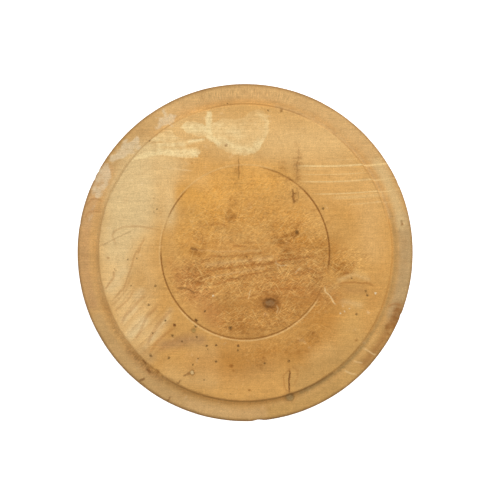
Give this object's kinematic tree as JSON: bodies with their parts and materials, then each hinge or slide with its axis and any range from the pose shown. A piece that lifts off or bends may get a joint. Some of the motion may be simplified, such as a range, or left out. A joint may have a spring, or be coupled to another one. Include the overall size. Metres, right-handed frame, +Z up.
{
  "type": "butter mold",
  "caption": "Turned wooden butter mold: a broad round press plate on a plunger that slides in a ring, over a base with a carved print.",
  "frame": {"origin": "centre of the foot, on the ground", "axes": "+Z up along the turning axis; +X along the grain of the press plate"},
  "size_m": [0.18, 0.18, 0.1182],
  "materials": {
    "plate_wood": "bare wood, worn and stained by use",
    "base_wood": "bare wood, worn",
    "ring_wood": "bare turned wood",
    "pusher_wood": "bare turned wood",
    "stem_wood": "bare turned wood",
    "print_wood": "bare carved wood",
    "peg_wood": "split and shaved wood"
  },
  "bodies": {
    "base": {"base_board": "base_wood", "print_plate": "print_wood", "print_pegs": "peg_wood"},
    "ring": {"mold_ring": "ring_wood"},
    "plunger": {"press_plate": "plate_wood", "plunger_stem": "stem_wood", "stem_wedge_upper": "peg_wood", "stem_wedge_lower": "peg_wood", "upper_cross_pin": "peg_wood", "lower_cross_pin": "peg_wood", "pusher_disc": "pusher_wood"}
  },
  "joints": [
    {"name": "ring_lift", "type": "slide", "parent": "base", "child": "ring", "axis": [0, 0, 1], "range_m": [0, 0.07]},
    {"name": "plunger_slide", "type": "slide", "parent": "ring", "child": "plunger", "axis": [0, 0, 1], "range_m": [-0.0272, 0.04]}
  ]
}
